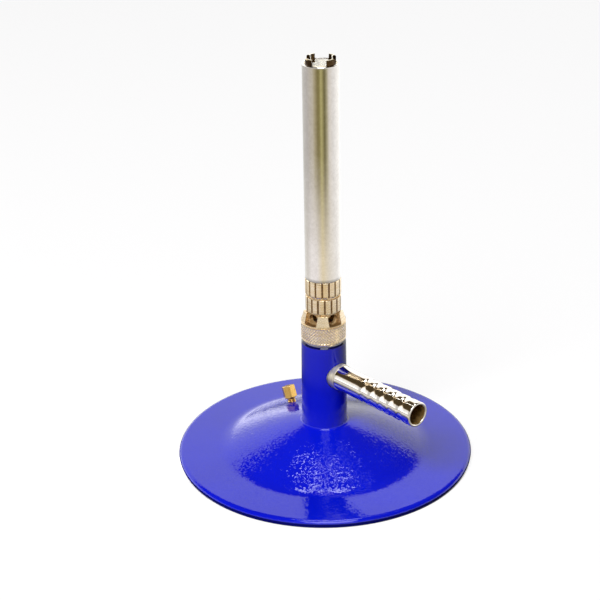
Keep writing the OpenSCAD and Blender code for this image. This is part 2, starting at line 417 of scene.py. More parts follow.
M_ALU = metal("soft_aluminium", (0.46, 0.45, 0.42), (0.70, 0.69, 0.65), 0.42, axis="X", depth=0.00001)
M_FIBRE = fibre()
# darker brass: painted shade for the neck inside the collar and for its air ports
M_BRASS_NECK_SHADE = metal("brass_lower_painted_shade", (0.42, 0.25, 0.09), (0.85, 0.62, 0.34), 0.34, depth=0.000006, solid=0.4)
# much darker enamel: painted shade for the column's top band under the collar
M_PAINT_COLLAR_SHADE = paint("blue_enamel_painted_shade", 0.12)
# darker enamel: painted shade for the lower side of the rim, next to the floor
M_PAINT_RIM_SHADE = paint("blue_enamel_rim_painted_shade", 0.28)
# near-black brass: painted shade in the grip grooves and on the floors of the collar's slots
M_BRASS_RECESS_SHADE = metal("brass_recess_painted_shade", (0.14, 0.07, 0.018), (0.34, 0.20, 0.08), 0.42, axis="N", depth=0.00001, lines=900, solid=0.5)


def done(obj, body, slot, *nodes):
    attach(obj, body)
    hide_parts(*nodes)
    return obj


ROOT, COLLAR, BARREL = "burner_base", "collar", "barrel"

# ---------------------------------------------------------------- base
DOME_R, TOE_R, RIM_H, SHELL = 32.5, 37.5, 2.4, 2.8
SLOPE0, SLOPE_F = 0.22, 0.03
DROP = SEAT - 3.95
DOME_B = (DROP - SLOPE0 * (DOME_R - STEM_R)) / (DOME_R - STEM_R) ** 2
SLOPE1 = SLOPE0 + 2 * DOME_B * (DOME_R - STEM_R)
TOE_Z = RIM_H + SLOPE_F * (BASE_R - 1.6 - TOE_R)


def dome_z(r):
    return SEAT - SLOPE0 * (r - STEM_R) - DOME_B * (r - STEM_R) ** 2


def top_z(r):
    if r <= DOME_R:
        return dome_z(r)
    if r <= TOE_R:
        t = (r - DOME_R) / (TOE_R - DOME_R)
        w = TOE_R - DOME_R
        return ((2 * t**3 - 3 * t * t + 1) * dome_z(DOME_R) + (t**3 - 2 * t * t + t) * w * -SLOPE1
                + (-2 * t**3 + 3 * t * t) * TOE_Z + (t**3 - t * t) * w * -SLOPE_F)
    return RIM_H + SLOPE_F * (BASE_R - 1.6 - r)


def curve(points, n=5):
    """A smooth line through the points, without its first and last points."""
    out = []
    for i in range(1, len(points) - 2):
        p0, p1, p2, p3 = (np.array(points[i + k]) for k in (-1, 0, 1, 2))
        for k in range(n):
            t = k / n
            q = 0.5 * (2 * p1 + (p2 - p0) * t + (2 * p0 - 5 * p1 + 4 * p2 - p3) * t * t + (3 * p1 - p0 - 3 * p2 + p3) * t**3)
            out.append((float(min(q[0], BASE_R)), float(q[1])))
    out.append(tuple(points[-2]))
    return out


def base_outline():
    pts = [(4.1, SEAT - 0.3), (4.4, SEAT), (STEM_R - 0.35, SEAT)]
    # a bead of paint closes the corner at the column's foot
    for i in range(7):
        a = math.pi / 2 * i / 6
        pts.append((STEM_R + 0.03 + 1.15 * (1 - math.sin(math.pi / 2 - a)), SEAT - 0.22 + 0.85 * (1 - math.sin(a))))
    r = STEM_R + 1.6
    while r < BASE_R - 2.3:
        pts.append((r, top_z(r)))
        r += 0.55 if 30 < r < 40 else 0.8
    e, h = BASE_R, RIM_H
    pts += curve([(e - 2.2, h + 0.018), (e - 1.6, h), (e - 1, h - 0.1), (e - 0.5, h - 0.34), (e - 0.15, h - 0.75), (e, h - 1.2), (e, h - 1.6)])
    for i in range(5):
        a = math.pi / 2 * i / 4
        pts.append((e - 0.4 + 0.4 * math.cos(a), 0.4 - 0.4 * math.sin(a)))
    pts += [(e - 2.5, 0.0), (e - 4.8, 0.0), (e - 5.1, 0.12), (e - 5.5, 0.55), (e - 6.2, 0.6)]
    r = e - 8
    while r > 35:
        pts.append((r, 0.6))
        r -= 1.5
    pts.append((34.5, 0.6))
    for i in range(25):
        r = 33 - 24 * i / 24
        pts.append((r, dome_z(r) - SHELL))
    pts += [(8.7, SEAT - 4.2), (8.4, SEAT - 4.5), (4.4, SEAT - 4.5), (4.1, SEAT - 4.2)]
    return pts


# the lower side of the rim takes the darker enamel as painted shade where it meets the floor
base = revolve("base_casting_shell", base_outline(), seg=256, mats=[M_PAINT, M_PAINT_RIM_SHADE],
               pick=lambda r, z: 1 if r > BASE_R - 0.25 and z < RIM_H - 0.9 else 0)


def rib_solid(angle):
    outline = [(9.0, 2.9), (9.6, 2.6), (31.0, 0.9), (33.2, 0.9)]
    for r in (33.4, 30, 26, 22, 18, 14, 10.5, 8.9):
        outline.append((r, dome_z(r) - 1.6))
    verts, faces, n = [], [], len(outline)
    for side, w0, w1 in ((-1, 1.1, 1.3), (1, 1.1, 1.3)):
        for r, z in outline:
            w = w1 if z > 3 else w0
            verts.append((r * MM, side * w * MM, z * MM))
    faces.append(tuple(range(n)))
    faces.append(tuple(reversed(range(n, 2 * n))))
    for i in range(n):
        j = (i + 1) % n
        faces.append((j, i, n + i, n + j))
    mesh = bpy.data.meshes.new("rib")
    mesh.from_pydata(verts, [], faces)
    bm = bmesh.new()
    bm.from_mesh(mesh)
    bmesh.ops.recalc_face_normals(bm, faces=bm.faces)
    bm.to_mesh(mesh)
    bm.free()
    mesh.transform(turn_z(angle))
    obj = bpy.data.objects.new("rib", mesh)
    bpy.context.scene.collection.objects.link(obj)
    return obj


SPARE_R, SPARE_AZ, SPARE_TILT, SPARE_SWING, SPARE_GAP = 25.0, 166, 24, 10, 1.6
SPARE = (turn_z(SPARE_AZ) @ Matrix.Translation((SPARE_R * MM, 0, dome_z(SPARE_R) * MM))
         @ turn_z(SPARE_SWING) @ Matrix.Rotation(math.radians(SPARE_TILT), 4, "Y"))
boolean(base, [rib_solid(45 + 90 * i) for i in range(4)], "UNION")
boolean(base, [drum("hole", 1.56, -8, 4, SPARE, 48)])
soften(base, 40)
done(base, ROOT, "blue_paint", "base_casting")


# ---------------------------------------------------------------- column
def thread(pitch, depth, z0, z1):
    def shape(t, r, z):
        if not z0 < z < z1:
            return r
        fade = min(1, (z - z0) / 0.5, (z1 - z) / 0.5)
        u = (z / pitch - t / TAU) % 1
        return r - depth * fade * (1 - min(1, 1.25 * (1 - abs(2 * u - 1))))
    return shape


stem_line = fillet([(0, 0.9), (3.55, 0.9, 0.1), (4.0, 1.35, 0.1), (4.0, SEAT - 0.3), (4.0, SEAT), (STEM_R, SEAT, 0.0),
                    (TOP_R, STEM_TOP - 0.55, 0.25), (TOP_R - 0.55, STEM_TOP, 0.2), (4.2, STEM_TOP), (4.2, SPIGOT_TOP - 0.35, 0.1),
                    (3.85, SPIGOT_TOP, 0.1), (1.56, SPIGOT_TOP), (1.56, INLET_Z + 8), (2.5, INLET_Z + 7.4), (2.5, INLET_Z - 4.5), (0, INLET_Z - 4.5)])
low = [p for p in stem_line if p[1] <= 1.6]
fine_stem = []
for i, p in enumerate(stem_line):
    q = stem_line[(i + 1) % len(stem_line)]
    fine_stem.append(p)
    if abs(p[0] - 4.0) < 0.02 and abs(q[0] - 4.0) < 0.02 and q[1] > p[1]:
        n = max(1, int((q[1] - p[1]) / 0.11))
        fine_stem += [(4.0, p[1] + (q[1] - p[1]) * k / n) for k in range(1, n)]
    elif p[0] > 7 and q[0] > 7 and q[1] > p[1] + 2:
        n = 100
        fine_stem += [(p[0] + (q[0] - p[0]) * k / n, p[1] + (q[1] - p[1]) * k / n) for k in range(1, n)]
stud_thread = thread(1.25, 0.55, 1.4, SEAT - 3.0)
# the column's top 0.75 mm, under the collar, takes the darker enamel as painted shade
stem = revolve("stem_column_body", fine_stem, seg=160, closed=False, mats=[M_PAINT, M_ZINC, M_PAINT_COLLAR_SHADE],
               pick=lambda r, z: 1 if (r < 4.3 and z < SEAT) or (z > STEM_TOP + 0.05) or (r < 3 and z > SEAT) else (2 if z > STEM_TOP - 0.75 else 0),
               shape=lambda t, r, z: stud_thread(t, r, z) if 3.9 < r < 4.1 else r)
boolean(stem, [drum("pocket", 4.6, TOP_R - 1.6, TOP_R + 5, ALONG_X, 96), drum("tap", 3.05, 2.2, TOP_R + 1, ALONG_X, 64)])
soften(stem, 36)
done(stem, ROOT, "blue_paint", "stem_column")

# ---------------------------------------------------------------- column fasteners
AF = 13.0


def hex_shape(af, chamfer_r=None, z0=None, z1=None, slope=0.577):
    def shape(t, r, z):
        if r < af / 2 - 0.05:
            return r
        a = (t + math.pi / 6) % (math.pi / 3) - math.pi / 6
        h = af / 2 / math.cos(a)
        limit = r
        return min(h, limit)
    return shape


def hex_lines(af, z0, z1, bore, both=True, steps=6, drop=0.55):
    """Outline of a chamfered hexagon: its outer radius is cut by a 30 degree cone at the ends."""
    corner = af / math.sqrt(3)
    lines = [(bore, z0 + 0.25), (bore + 0.25, z0)]
    cone = af / 2 * 0.95
    if both:
        for i in range(steps + 1):
            lines.append((cone + (corner - cone) * i / steps, z0 + drop * i / steps))
    else:
        lines.append((corner, z0))
    for i in range(1, 6):
        lines.append((corner, z0 + (drop if both else 0) + (z1 - drop - z0 - (drop if both else 0)) * i / 6))
    for i in range(steps + 1):
        lines.append((corner - (corner - cone) * i / steps, z1 - drop + drop * i / steps))
    lines += [(bore + 0.25, z1), (bore, z1 - 0.25)]
    return lines


nut = revolve("stem_lock_nut_hex", hex_lines(AF, w_lo[2], w_hi[2], 4.06), seg=144, mats=[M_ZINC], shape=hex_shape(AF))
soften(nut, 28)
done(nut, ROOT, "zinc_steel", "stem_lock_nut")

# ---------------------------------------------------------------- gas inlet
PITCH, BARBS = 4.35, 5
BARB_X0 = TIP - 2 - PITCH * BARBS
BORE = 3.4


def barb(u):
    """How far the surface dips, from 0 to 1, over one pitch: a steep step and a long ramp back up."""
    if u < 0.22:
        s = u / 0.22
        return s * s * (3 - 2 * s)
    if u < 0.74:
        s = (u - 0.22) / 0.52
        return 1 - s * s * (3 - 2 * s)
    return 0.0


RING_X0, RING_X1 = TOP_R - 0.9, TOP_R + 1.7
outline = [(2.0, TOP_R - 4.6), (2.65, TOP_R - 4.6), (3.0, TOP_R - 4.25), (3.0, RING_X0)]
outline += fillet([(3.0, RING_X0), (RING_R, RING_X0 + 0.02, 0.18), (RING_R, RING_X1, 0.16), (PIPE_R + 0.01, RING_X1, 0.0), (3.0, RING_X1)])[1:-1]
x = RING_X1 + 0.04
while x < BARB_X0 - 0.4:
    outline.append((PIPE_R, x))
    x += 1.2
for i in range(BARBS):
    for s in range(22):
        u = s / 22
        outline.append((PIPE_R - 0.2 * barb(u), BARB_X0 + PITCH * (i + u)))
outline.append((PIPE_R, BARB_X0 + PITCH * BARBS))
outline.append((PIPE_R, TIP - 0.9))
for i in range(7):
    a = math.pi * i / 6
    mid, half = (PIPE_R + BORE) / 2, (PIPE_R - BORE) / 2
    outline.append((mid + half * math.cos(a), TIP - 0.28 + 0.28 * math.sin(a)))
outline += [(BORE, TIP - 1.0), (BORE, TIP - 8), (BORE, 30), (BORE, 20), (BORE, TOP_R + 3.2), (2.0, TOP_R + 2.0)]
nipple = revolve("inlet_nipple_tube", outline, seg=144, matrix=ALONG_X, mats=[M_NICKEL_X, M_BORE, M_SATIN],
                 pick=lambda r, z: 1 if r < BORE + 0.01 and z > 4 else (2 if z < RING_X1 + 0.01 else 0))
soften(nipple, 40)
done(nipple, ROOT, "nickel_plate", "inlet_nipple")


# ---------------------------------------------------------------- jets
def make_jet(name, matrix, mat, slot, node, seg=96):
    corner = 4.3 / math.sqrt(3)
    cone = 2.12
    pts = [(0.8, -4.95), (1.25, -5.0)]
    z = -4.85
    while z < -0.05:
        pts.append((1.5, z))
        z += 0.075
    pts += [(1.5, -0.02), (1.5, 0.0)]
    for i in range(5):
        pts.append((cone + (corner - cone) * i / 4, 0.02 + 0.3 * i / 4))
    pts += [(corner, 0.8), (corner, 1.6), (corner, 2.4), (corner, 3.2), (corner, 3.9)]
    for i in range(6):
        t = math.pi / 2 * i / 5
        pts.append((cone + (corner - cone) * math.cos(t), 3.98 + 0.42 * math.sin(t)))
    pts += [(1.6, 4.4), (0.98, 4.4), (0.9, 4.34), (0.9, 4.12), (0.42, 4.1), (0.35, 4.03), (0.35, 3.5), (0.8, 3.3), (0.8, -2)]
    helix = thread(0.6, 0.24, -4.8, 0.1)

    def shape(t, r, z):
        if z < 0 and 1.45 < r < 1.55:
            return helix(t, r, z)
        if r > 1.9:
            a = (t + math.pi / 6) % (math.pi / 3) - math.pi / 6
            return min(r, 2.15 / math.cos(a))
        return r
    obj = revolve(name, pts, seg=seg, matrix=matrix, mats=[mat, M_BRASS_IN], shape=shape,
                  pick=lambda r, z: 1 if r < 0.9 and -4.9 < z < 4.3 else 0)
    soften(obj, 30)
    return done(obj, ROOT, slot, node)


make_jet("gas_jet_injector", Matrix.Translation((0, 0, (SPIGOT_TOP + 0.5) * MM)) @ turn_z(15), M_BRASS, "brass", "gas_jet")
make_jet("spare_gas_jet_injector", SPARE @ Matrix.Translation((0, 0, SPARE_GAP * MM)) @ turn_z(10), M_JET, "jet_brass", "spare_gas_jet")

# ---------------------------------------------------------------- mixing neck
PORT_Z = STEM_TOP + 9.3
WIDE_R, WIDE_Z = k_hi[0], STEM_TOP + 11.4
NECK_R = 5.65
PORT_AZ = -8


def grooves(radius, depth, shift):
    """Sixteen straight grip grooves, each about 0.7 mm wide, cut into everything close to the outer radius."""
    def cut(t, r, z):
        if r < radius - 0.36:
            return r
        u = abs(((math.degrees(t) - shift) / 22.5 + 0.5) % 1 - 0.5) * 22.5
        return min(r, radius - depth * max(0.0, min(1.0, (3.7 - u) / 2.4)))
    return cut


def shade_grooves(obj, radius, z0, z1, number):
    """Gives the faces in the grooves, between two heights, another material: the darker brass, as painted shade."""
    for f in obj.data.polygons:
        c = f.center / MM
        if z0 < c.z < z1 and radius - 0.45 < math.hypot(c.x, c.y) < radius - 0.07 and abs(f.normal.z) < 0.3:
            f.material_index = number


RING_Z = STEM_TOP + 3.5
WASHER_TOP = STEM_TOP + 0.4
neck_line = fillet([(4.25, WASHER_TOP), (NECK_R, WASHER_TOP, 0.1), (NECK_R, RING_Z - 0.45, 0.05), (5.2, RING_Z - 0.45), (5.2, RING_Z + 0.45),
                    (NECK_R, RING_Z + 0.45, 0.05), (NECK_R, WIDE_Z, 0.0), (WIDE_R, WIDE_Z, 0.12), (WIDE_R, NECK_TOP - 0.4, 0.18),
                    (5.25, NECK_TOP - 0.4, 0.05), (5.25, NECK_TOP + 0.1, 0.05),
                    (4.85, NECK_TOP + 0.1), (4.85, NECK_TOP + 4.7, 0.1), (4.6, NECK_TOP + 5, 0.1), (4.0, NECK_TOP + 5, 0.1),
                    (4.0, SPIGOT_TOP + 0.6), (4.25, SPIGOT_TOP + 0.3)], 3)
fine_neck = []
for i, p in enumerate(neck_line):
    q = neck_line[(i + 1) % len(neck_line)]
    fine_neck.append(p)
    if abs(p[0] - 4.85) < 0.02 and abs(q[0] - 4.85) < 0.02 and q[1] > p[1]:
        fine_neck += [(4.85, p[1] + (q[1] - p[1]) * k / 48) for k in range(1, 48)]
    elif p[0] > WIDE_R - 0.02 and q[0] > WIDE_R - 0.02 and abs(q[1] - p[1]) > 3:
        fine_neck += [(WIDE_R, p[1] + (q[1] - p[1]) * k / 8) for k in range(1, 8)]
    elif abs(p[0] - NECK_R) < 0.02 and abs(q[0] - NECK_R) < 0.02 and abs(q[1] - p[1]) > 4:
        fine_neck += [(NECK_R, p[1] + (q[1] - p[1]) * k / 24) for k in range(1, 24)]
    elif abs(p[0] - 4.0) < 0.02 and abs(q[0] - 4.0) < 0.02 and abs(q[1] - p[1]) > 4:
        fine_neck += [(4.0, p[1] + (q[1] - p[1]) * k / 20) for k in range(1, 20)]
neck_thread = thread(0.8, 0.32, NECK_TOP + 0.3, NECK_TOP + 4.7)
neck_grip = grooves(WIDE_R, 0.26, 8)
# the neck below its wide grip, inside the collar, takes the darker brass as painted shade
neck = revolve("mixing_neck_body", fine_neck, seg=16 * 24, mats=[M_BRASS, M_BRASS_IN, M_BRASS_NECK_SHADE, M_BRASS_RECESS_SHADE],
               pick=lambda r, z: 1 if r < 4.3 else (2 if z < WIDE_Z - 0.1 else 0),
               shape=lambda t, r, z: neck_thread(t, r, z) if 4.8 < r < 4.9 else (neck_grip(t, r, z) if z > WIDE_Z - 0.01 and r > 5.5 else r))
boolean(neck, [drum("port", 1.8, 2.0, 10.0, Matrix.Translation((0, 0, PORT_Z * MM)) @ turn_z(PORT_AZ + 72 * i) @ Matrix.Rotation(math.pi / 2, 4, "Y"), 48)
               for i in range(5)])
# the neck's grip grooves take the darker brass as painted shade
shade_grooves(neck, WIDE_R, WIDE_Z + 0.1, NECK_TOP - 0.5, 3)
# the walls of the air ports take the darker brass as painted shade
for f in neck.data.polygons:
    c = f.center / MM
    if abs(c.z - PORT_Z) < 2 and 4.2 < math.hypot(c.x, c.y) < 5.6:
        f.material_index = 2
soften(neck, 36)
done(neck, ROOT, "brass", "mixing_neck")

# ---------------------------------------------------------------- air regulator collar
EDGE = STEM_TOP + 7.6
KNURL_R = TOP_R
DIAMONDS = 46


def tri(u):
    return 1 - abs(2 * (u % 1) - 1)


def diamond(t, r, z):
    if r < KNURL_R - 0.01:
        return r
    fade = max(0.0, min(1.0, (z - WASHER_TOP - 0.85) / 0.15, (EDGE - 1.0 - z) / 0.15))
    u, v = t * DIAMONDS / TAU + z / 1.06, t * DIAMONDS / TAU - z / 1.06
    h = min(1.0, 1.5 * min(tri(u), tri(v)))
    return r - 0.2 * fade * (1 - h)


collar_line = [(5.72, WASHER_TOP + 0.2), (5.95, WASHER_TOP), (KNURL_R - 0.5, WASHER_TOP), (KNURL_R - 0.12, WASHER_TOP + 0.18), (KNURL_R, WASHER_TOP + 0.42),
               (KNURL_R, WASHER_TOP + 0.6)]
z = WASHER_TOP + 0.72
while z < EDGE - 0.82:
    collar_line.append((KNURL_R, z))
    z += 0.12
collar_line += [(KNURL_R, EDGE - 0.78), (KNURL_R - 0.10, EDGE - 0.72), (KNURL_R - 0.32, EDGE - 0.66), (KNURL_R - 0.32, EDGE - 0.24), (KNURL_R - 0.10, EDGE - 0.18),
                (KNURL_R, EDGE - 0.10), (KNURL_R, EDGE - 0.03), (KNURL_R - 0.06, EDGE + 0.12)]
for i in range(1, 10):
    s = i / 9
    collar_line.append((KNURL_R - 0.06 + (6.56 - KNURL_R + 0.06) * s, EDGE + 0.12 + (COLLAR_Z1 - 0.06 - EDGE - 0.12) * s))
collar_line += [(6.45, COLLAR_Z1), (5.95, COLLAR_Z1), (5.72, COLLAR_Z1 - 0.2), (5.72, COLLAR_Z1 - 3), (5.72, RING_Z + 0.5), (5.72, RING_Z + 0.45),
                (6.06, RING_Z + 0.45), (6.06, RING_Z - 0.45), (5.72, RING_Z - 0.45), (5.72, RING_Z - 0.5)]
collar = revolve("air_regulator_collar_knurled", collar_line, seg=DIAMONDS * 8, mats=[M_BRASS, M_BRASS_IN, M_BRASS_RECESS_SHADE], shape=diamond,
                 pick=lambda r, z: 1 if r < 5.8 or (r < 6.1 and z < EDGE) else 0)
SLOT = 4.9


def notch(width, z0, z1, corner, matrix):
    """A cutter block from x 3.2 to 10.8 with rounded lower corners."""
    outline = [(-width / 2, z1), (width / 2, z1)]
    for cx, turn in ((width / 2 - corner, 0), (-width / 2 + corner, 1)):
        for i in range(6):
            a = -math.pi / 2 * (i / 5 + turn)
            outline.append((cx + corner * math.cos(a), z0 + corner + corner * math.sin(a)))
    n = len(outline)
    verts = [(x * MM, y * MM, z * MM) for x in (3.2, 10.8) for y, z in outline]
    faces = [tuple(range(n)), tuple(reversed(range(n, 2 * n)))] + [(i, n + i, n + (i + 1) % n, (i + 1) % n) for i in range(n)]
    mesh = bpy.data.meshes.new("notch")
    mesh.from_pydata(verts, [], faces)
    bm = bmesh.new()
    bm.from_mesh(mesh)
    bmesh.ops.recalc_face_normals(bm, faces=bm.faces)
    bm.to_mesh(mesh)
    bm.free()
    mesh.transform(matrix)
    obj = bpy.data.objects.new("notch", mesh)
    bpy.context.scene.collection.objects.link(obj)
    return obj


cutters = [notch(SLOT, EDGE - 0.1, COLLAR_Z1 + 3, 0.3, turn_z(PORT_AZ + 72 * i)) for i in range(5)]
boolean(collar, cutters)
# the floors of the collar's slots take the darker brass as painted shade
for f in collar.data.polygons:
    c = f.center / MM
    if f.normal.z > 0.5 and EDGE - 0.2 < c.z < EDGE + 0.3 and math.hypot(c.x, c.y) < KNURL_R - 0.05:
        f.material_index = 2
soften(collar, 30)
done(collar, COLLAR, "brass", "air_regulator_collar")

# ---------------------------------------------------------------- barrel ferrule
FERRULE_TOP = TUBE_Z0
FZ = f_lo[2]
FR = f_hi[0]


splines = grooves(FR, 0.3, 0)
ferrule_line = [(4.9, FZ + 0.2), (5.1, FZ), (FR - 0.34, FZ), (FR - 0.15, FZ + 0.1), (FR - 0.04, FZ + 0.3)]
ferrule_line += [(FR, FZ + 0.42 + (FERRULE_TOP - FZ - 0.84) * i / 10) for i in range(11)]
ferrule_line += [(FR - 0.04, FERRULE_TOP - 0.3), (FR - 0.15, FERRULE_TOP - 0.1), (FR - 0.34, FERRULE_TOP), (TUBE_IN - 0.03, FERRULE_TOP),
                 (TUBE_IN - 0.03, f_hi[2] - 0.3), (TUBE_IN - 0.3, f_hi[2]), (4.35, f_hi[2]), (4.2, f_hi[2] - 0.15), (4.2, FZ + 5.1), (4.9, FZ + 5.1)]
ferrule = revolve("barrel_ferrule_ring", ferrule_line, seg=16 * 24, mats=[M_BRASS, M_BRASS_IN, M_BRASS_RECESS_SHADE], shape=splines,
                  pick=lambda r, z: 1 if r < 4.95 else 0)
# the ferrule's grooves take the darker brass as painted shade
shade_grooves(ferrule, FR, FZ + 0.2, FERRULE_TOP - 0.2, 2)
soften(ferrule, 32)
done(ferrule, BARREL, "brass", "barrel_ferrule")

# ---------------------------------------------------------------- barrel tube
BACK_GAP = math.radians(-48 + 180)
tube_line = [(TUBE_IN, TUBE_Z0 + 0.1), (TUBE_IN + 0.1, TUBE_Z0), (TUBE_R - 0.12, TUBE_Z0), (TUBE_R - 0.03, TUBE_Z0 + 0.04), (TUBE_R, TUBE_Z0 + 0.14)]
tube_line += [(TUBE_R, TUBE_Z0 + 0.14 + (TUBE_Z1 - 0.24 - TUBE_Z0 - 0.14) * i / 60) for i in range(1, 61)]
tube_line += [(TUBE_R - 0.02, TUBE_Z1 - 0.17), (TUBE_R - 0.12, TUBE_Z1 - 0.04), (TUBE_R - 0.18, TUBE_Z1), (TUBE_IN + 0.1, TUBE_Z1), (TUBE_IN, TUBE_Z1 - 0.1)]
tube_line += [(TUBE_IN, TUBE_Z1 - 4 - (TUBE_Z1 - TUBE_Z0 - 8) * i / 8) for i in range(9)]
tube = revolve("barrel_tube_plated", tube_line, seg=160, mats=[M_NICKEL, M_BRASS_IN, M_HEAT_STAIN_AND_SHADE], pick=lambda r, z: 1 if r < TUBE_IN + 0.01 else 0)
for f in tube.data.polygons:
    if f.normal.z > 0.9 and f.center.z > (TUBE_Z1 - 0.05) * MM and abs((math.atan2(f.center.y, f.center.x) - BACK_GAP + math.pi) % TAU - math.pi) < 0.6:
        f.material_index = 2
soften(tube, 40)
done(tube, BARREL, "nickel_plate", "barrel_tube")

# ---------------------------------------------------------------- flame stabiliser
OUT = x_hi[0]
crown_line = fillet([(4.25, x_lo[2]), (4.9, x_lo[2], 0.1), (OUT, x_lo[2] + 0.4, 0.1), (OUT, TUBE_Z1 - 3), (OUT, TUBE_Z1 - 1), (OUT, CROWN_Z - 0.3, 0.12),
                     (OUT - 0.28, CROWN_Z, 0.1), (4.45, CROWN_Z, 0.08), (4.25, CROWN_Z - 0.2, 0.08), (4.25, TUBE_Z1 - 1), (4.25, TUBE_Z1 - 4)], 3)
crown = revolve("flame_stabiliser_crown", crown_line, seg=144, mats=[M_CROWN, M_MOUTH, M_HEAT_STAIN_AND_SHADE])
cutters = [slab("gap", (3.0, -2.25, TUBE_Z1), (7.0, 2.25, CROWN_Z + 3), turn_z(-48 + 90 * i)) for i in range(4)]
cutters += [drum("flute", 0.42, x_lo[2] - 1, TUBE_Z1, turn_z(19.5 + 45 * i) @ Matrix.Translation((TUBE_IN * MM, 0, 0)), 24) for i in range(8)]
boolean(crown, cutters)
for f in crown.data.polygons:
    out = Vector((f.center.x, f.center.y, 0)).normalized()
    from_gap = abs((math.atan2(out.y, out.x) - BACK_GAP + math.pi) % TAU - math.pi)
    if f.center.z > (TUBE_Z1 - 0.1) * MM and from_gap < math.radians(50) and f.normal.z < 0.9:
        f.material_index = 2  # heat stain beside one gap
    elif f.normal.z > 0.9 and abs(f.center.z - TUBE_Z1 * MM) < 0.1 * MM and from_gap < math.radians(60):
        f.material_index = 2
    elif f.normal.dot(out) < -0.6:
        f.material_index = 1
    # the upright faces of the crown's teeth take the near-black brass as painted shade and painted dark reflection
    elif abs(f.normal.z) < 0.6 and f.center.z > (TUBE_Z1 - 0.2) * MM:
        f.material_index = 2
    else:
        f.material_index = 0
bevel(crown, 0.09, 2, 40)
soften(crown, 40)
done(crown, BARREL, "crown_brass", "flame_stabiliser")

# ---------------------------------------------------------------- CAD nodes kept, with their own materials
for node, mat in (("stem_flat_washer", M_ZINC), ("stem_spring_washer", M_ZINC), ("collar_thrust_washer", M_ZINC),
                  ("collar_friction_ring", M_ZINC), ("inlet_sealing_washer", M_ALU), ("jet_sealing_washer", M_FIBRE)):
    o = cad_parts[node]
    o.data.materials.clear()
    o.data.materials.append(mat)
    bevel(o, 0.05, 2, 40)

# ---------------------------------------------------------------- camera
AZ, EL, DIST, FOCAL, ROLL, U0, V0 = 48.0, 30.1, 535.5, 1516.0, -0.6, 324.9, 448.5
a, e = math.radians(AZ), math.radians(EL)
back = Vector((math.sin(a) * math.cos(e), -math.cos(a) * math.cos(e), math.sin(e)))
right = Vector((math.cos(a), math.sin(a), 0))
fwd = -back
up = right.cross(fwd)
ro = math.radians(ROLL)
right2 = right * math.cos(ro) + up * math.sin(ro)
up2 = up * math.cos(ro) - right * math.sin(ro)
basis = Matrix((right2, up2, fwd)).transposed()
d = Vector(((U0 - 300) / FOCAL, -(V0 - 300) / FOCAL, 1)).normalized()
q = Vector((0, 0, 1)).rotation_difference(d).to_matrix()
axes = basis @ q.transposed()
cam_data = bpy.data.cameras.new("camera")
cam_data.sensor_width = 36
cam_data.lens = FOCAL / 600 * 36
cam = bpy.data.objects.new("camera", cam_data)
bpy.context.scene.collection.objects.link(cam)
look = Matrix((axes.col[0], axes.col[1], -axes.col[2])).transposed().to_4x4()
cam.matrix_world = Matrix.Translation(back * DIST * MM) @ look
cam_data.clip_start, cam_data.clip_end = 0.01, 50
bpy.context.scene.camera = cam

# ---------------------------------------------------------------- stage
AWAY = Vector((-math.sin(a), math.cos(a), 0))


def sheet(name, r0, r1, z, mat, seg=96):
    verts, faces = [], []
    for r in (r0, r1):
        for i in range(seg):
            verts.append((r * math.cos(TAU * i / seg), r * math.sin(TAU * i / seg), z))
    if r0 > 0:
        for i in range(seg):
            j = (i + 1) % seg
            faces.append((i, seg + i, seg + j, j))
    else:
        verts = verts[seg:]
        faces.append(tuple(range(seg)))
    mesh = bpy.data.meshes.new(name)
    mesh.from_pydata(verts, [], faces)
    mesh.materials.append(mat)
    o = bpy.data.objects.new(name, mesh)
    bpy.context.scene.collection.objects.link(o)
    return o


k = Nodes("stage_floor")
k.p.inputs["Base Color"].default_value = (0.20, 0.20, 0.20, 1)
k.p.inputs["Roughness"].default_value = 0.9
k.p.inputs["Specular IOR Level"].default_value = 0.0
k.p.inputs["Emission Color"].default_value = (1, 0.997, 1, 1)
k.p.inputs["Emission Strength"].default_value = 0.84
floor = sheet("floor", 0, 4.0, 0.0, k.m)
floor.visible_diffuse = False
floor.visible_glossy = False

# what polished metal sees below the horizon: a pale sheet, brighter on the right, with a dark bench beyond its front edge
k = Nodes("stage_bounce")
tc = k.add("ShaderNodeTexCoord")


def dot(vec, v):
    n = k.add("ShaderNodeVectorMath")
    n.operation = "DOT_PRODUCT"
    k.link(vec, n.inputs[0])
    n.inputs[1].default_value = v
    return n.outputs["Value"]


toward = dot(tc.outputs["Object"], tuple(-AWAY))
side = dot(tc.outputs["Object"], tuple(right))
angle = k.math("ARCTAN2", side, toward)
turnfac = k.span(angle, -math.pi, math.pi, 0, 1)


def at(deg):
    return (deg + 180) / 360


